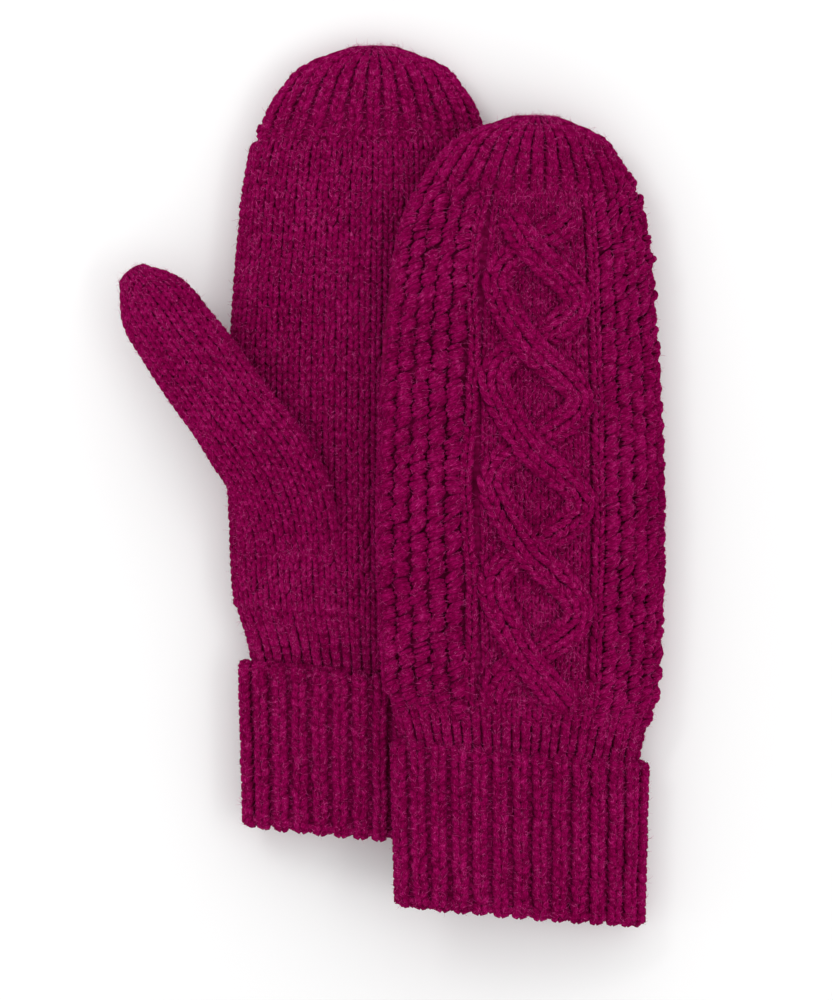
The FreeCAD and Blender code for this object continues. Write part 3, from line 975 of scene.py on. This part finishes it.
def bead_flank(yarns, ring, side, start, end, millimetre):
    """Columns of beads from beside the cable to the hand's side seam, every other one half a
    bead higher. Towards the side they go further up the crown."""
    flank = abs(end - start) / millimetre
    count = max(1, round(flank / BEAD_WIDTH))
    for column in range(count):
        share = start + (end - start) * (column + 0.5) / count
        half_up = 0.5 * BEAD_TALL if column % 2 else 0.0
        first = side["wrist"] - BEADS_PAST_WRIST + half_up + rng.uniform(-1.0, 1.0)
        last = side["crown"] + BEADS_PAST_CROWN + BEADS_UP_THE_SIDE * (column / count) ** 1.5
        reach = np.arange(first, last, BEAD_TALL)
        squeeze = np.array([ring.girth(value) for value in reach]) / ring.girth(REFERENCE_REACH)
        yarns.bead(share, reach, millimetre, flank / count, BEAD_TALL, BEAD_HEIGHT,
                   BEAD_RADIUS * np.minimum(1.0, squeeze))


def cable_side(yarns, name, ring, middle, flip):
    """The back of a hand: a cable panel between two grooves, with moss beads on both flanks.
    Positions are millimetres from the cable's middle, to +X where flip is 1."""
    side = SIDES[name]
    millimetre = flip / (2.0 * ring.girth(REFERENCE_REACH))
    low = 0.0 if flip > 0 else 0.5
    cable_ropes(yarns, middle, millimetre)
    wrist_ribs(yarns, low, WRIST_BACK_COLUMNS, side["wrist"], WRIST_UNDER_BEADS)
    crown_ribs(yarns, ring, low, CROWN_BACK_RIBS, side["crown"] - CROWN_BACK_LEAD)
    for reach in np.arange(side["wrist"], side["crown"], COURSE):
        squeeze = min(1.0, ring.girth(reach) / ring.girth(REFERENCE_REACH))
        yarns.knit(middle - GROUND_COLUMNS * millimetre, reach,
                   GROUND_SHARE * GROUND_PITCH * abs(millimetre), COURSE, GROUND_HEIGHT,
                   GROUND_RADIUS * squeeze)
        sway = BORDER_SWAY * math.sin(math.pi * (reach - CABLE_FIRST) / CABLE_PITCH)
        yarns.knit(middle - (BORDERS + np.array([sway, 0.0])) * millimetre, reach,
                   BORDER_WIDTH * abs(millimetre), COURSE, BORDER_HEIGHT, BORDER_RADIUS * squeeze)
    for toward, border in FLANKS:
        start = middle - toward * border * millimetre
        end = low + SEAM_SHARE if toward * flip > 0 else low + 0.5 - SEAM_SHARE
        bead_flank(yarns, ring, side, start, end, abs(millimetre))


def tip_gather(strands, end):
    """The last stitches of a tip, drawn together over its middle."""
    yarns = Yarns()
    share = np.arange(strands)[:, None] / strands + GATHER_SLANT * LEG_TIMES
    yarns.add(share, end - CAP * (0.5 - 0.5 * LEG_TIMES), 0.15 - 0.5 * LEG_GIRTH,
              GATHER_RADIUS * GATHER_GIRTH)
    return yarns


def side_seams(name):
    """A raised column along each side, where the two faces of the hand meet, and a lower one
    beside it on the back."""
    yarns = Yarns()
    rows = np.arange(SIDES[name]["wrist"], SIDES[name]["crown"], COURSE)
    back = 1.0 if name == "left" else -1.0
    for share in (0.0, 0.5):
        inward = back if share else -back
        for offset, height in SEAM_COLUMNS:
            yarns.knit(share + offset * inward, rows, SEAM_PITCH, COURSE, height, SEAM_RADIUS)
    return yarns


# ------------------------------------------------------------------ the two mittens

def knit_object(name, ring, yarns, place, slot, fibres=0, edges=None):
    """The piece of all these yarns laid on a ring, and a second one of its loose fibres."""
    share, reach, height, radius = yarns.fields()
    if edges:
        reach, height = rolled_edges(reach, height, *edges)
    points, normals = ring.at(share, reach, height)
    pieces = [tube_mesh(name, points, normals, radius)]
    dress(pieces[0], YARN[slot], place)
    if fibres:
        pieces.append(fuzz_mesh(name + "_fuzz", points, normals, radius, fibres))
        dress(pieces[1], FUZZ, place)
    return pieces


def build_hand(name):
    body = name + "_mitten"
    ring = Ring(hand_skin(name), WRIST_REACH, LENGTH + CAP, rows=220)
    cloth = cloth_shell(name + "_hand_cloth", ring, CLOTH_LAYERS["hand"])
    dress(cloth, CLOTH, body)
    plain = Yarns()
    cable = Yarns()
    middle = ring.share_at(CABLE_X[name], REFERENCE_REACH)
    if name == "left":
        plain_side(plain, name, ring, 0.0)
        cable_side(cable, name, ring, 1.0 - middle, -1.0)
    else:
        plain_side(plain, name, ring, 0.5)
        cable_side(cable, name, ring, middle, 1.0)
    seams = side_seams(name)
    pieces = knit_object(name + "_palm_knit", ring, plain, body, "plain_knit", FIBRES["palm"])
    pieces += knit_object(name + "_back_knit", ring, cable, body, "cable_knit", FIBRES["back"])
    seam_pieces = knit_object(name + "_side_seams", ring, seams, body, "seam_yarn", FIBRES["seams"])
    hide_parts(name + "_thumb_side_seam", name + "_outer_side_seam")
    yarns = tip_gather(GATHER_STRANDS["hand"], LENGTH + CAP)
    gathered = knit_object(name + "_tip_gather_knit", ring, yarns, body, "seam_yarn")
    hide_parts(name + "_tip_gather")
    pieces += seam_pieces + gathered
    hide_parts(name + "_back_panel", name + "_palm_panel")
    return ring


def build_cuffs(name):
    """The turned-up outer layer of the cuff, and the wrist rib that it covers."""
    body = name + "_cuff_turnup"
    ring = Ring(cuff_skin(name, TURNUP_WIDTHS, 0.0), 0.0, CUFF_DEPTH, rows=60)
    cloth = cloth_shell(body + "_cloth", ring, CLOTH_LAYERS["cuff"], rows=24,
                        recess=(CLOTH_RECESS, CLOTH_RECESS))
    dress(cloth, CLOTH, body)
    pieces = knit_object(body + "_knit", ring, rib_tube(-EDGE_ROLL, CUFF_DEPTH + 0.5), body,
                         "rib_knit", FIBRES["turnup"], (EDGE_ROLL, CUFF_DEPTH - EDGE_ROLL))
    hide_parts(name + "_cuff_turnup")

    body = name + "_mitten"
    widths = (RIB_WIDTHS[0] + CUFF_LAYER, RIB_WIDTHS[1] + CUFF_LAYER)
    ring = Ring(cuff_skin(name, widths, CUFF_LAYER), WRIST_START, WRIST_REACH, rows=60)
    cloth = cloth_shell(name + "_wrist_rib_cloth", ring, CLOTH_LAYERS["cuff"], rows=24,
                        recess=(CLOTH_RECESS, 0.0))
    dress(cloth, CLOTH, body)
    yarns = rib_tube(WRIST_START - EDGE_ROLL, WRIST_REACH - 1.0)
    pieces = knit_object(name + "_wrist_rib_knit", ring, yarns, body, "rib_knit",
                         edges=(EDGE_ROLL + WRIST_START, UNROLLED))
    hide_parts(name + "_wrist_rib")


def build_thumb(name, palm):
    if name == "left":
        first = GUSSET_FIRST
        skin = gusset_skin(palm)
        place = ("left_mitten", "left_thumb")
    else:
        first = RIGHT_THUMB_START
        skin = thumb_skin(name)
        place = "right_thumb"
    ring = Ring(skin, first, THUMB_REACH + CAP, rows=160, columns=160)
    cloth = cloth_shell(name + "_thumb_cloth", ring, CLOTH_LAYERS["thumb"])
    dress(cloth, CLOTH, place)
    yarns = Yarns()
    for start in (0.0, 0.5):
        share, pitch = columns_between(start, start + 0.5, THUMB_WALES)
        for reach in np.arange(first + 1.0, THUMB_REACH + 0.8 * CAP, COURSE):
            local = 2.0 * ring.girth(reach) * pitch
            radius = float(np.clip(RADIUS_SHARE * local, THUMB_LEAST_RADIUS, YARN_RADIUS))
            yarns.knit(share, reach, PLAIN_SHARE * pitch, COURSE, THUMB_STITCH_HEIGHT, radius)
    pieces = knit_object(name + "_thumb_knit", ring, yarns, place, "plain_knit", FIBRES["thumb"])
    yarns = tip_gather(GATHER_STRANDS["thumb"], THUMB_REACH + CAP)
    gathered = knit_object(name + "_thumb_gather_knit", ring, yarns, place, "seam_yarn")
    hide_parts(name + "_thumb_tip_gather")
    pieces += gathered
    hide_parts(name + "_thumb_tube", name + "_thumb_base_seam")


for hand in ("left", "right"):
    palm_ring = build_hand(hand)
    build_cuffs(hand)
    build_thumb(hand, palm_ring)


# ------------------------------------------------------------------ floor, light, camera

# from here on in metres
FLOOR_SIZE = 8.0
FLOOR_COLOUR = (0.95, 0.95, 0.95)
WORLD_STRENGTH = 0.95
CAMERA_DISTANCE = 2.4
CAMERA_X = 0.0088
CAMERA_Y = -0.0045
PAIR_HEIGHT = 0.022
FRAME_HEIGHT = 0.345
SENSOR = 36.0

bpy.ops.mesh.primitive_plane_add(size=FLOOR_SIZE, location=(0.0, 0.0, 0.0))
floor = bpy.context.object
floor.name = "floor"
floor_material, _, floor_shader = new_material("pale_floor", 1.0, 0.0)
floor_shader.inputs["Base Color"].default_value = (*FLOOR_COLOUR, 1.0)
floor.data.materials.append(floor_material)

world = bpy.data.worlds.new("studio")
world.use_nodes = True
background = world.node_tree.nodes["Background"]
background.inputs["Color"].default_value = (1.0, 1.0, 1.0, 1.0)
background.inputs["Strength"].default_value = WORLD_STRENGTH
bpy.context.scene.world = world


def softbox(name, place, size, power):
    """A square lamp that faces the middle of the floor."""
    lamp = bpy.data.lights.new(name, "AREA")
    lamp.shape = "SQUARE"
    lamp.size = size
    lamp.energy = power
    obj = bpy.data.objects.new(name, lamp)
    obj.location = place
    x, y, z = place
    obj.rotation_euler = (math.atan2(math.hypot(x, y), z), 0.0, math.atan2(-x, y))
    bpy.context.scene.collection.objects.link(obj)


softbox("key", (-0.75, 0.75, 1.25), 0.6, 19.0)
softbox("fill", (0.9, -0.3, 1.4), 1.0, 6.0)

camera_data = bpy.data.cameras.new("camera")
camera_data.sensor_width = SENSOR
camera_data.lens = SENSOR * CAMERA_DISTANCE / FRAME_HEIGHT
camera = bpy.data.objects.new("camera", camera_data)
camera.location = (CAMERA_X, CAMERA_Y, CAMERA_DISTANCE + PAIR_HEIGHT)
bpy.context.scene.collection.objects.link(camera)
bpy.context.scene.camera = camera
bpy.context.scene.view_settings.view_transform = "Standard"
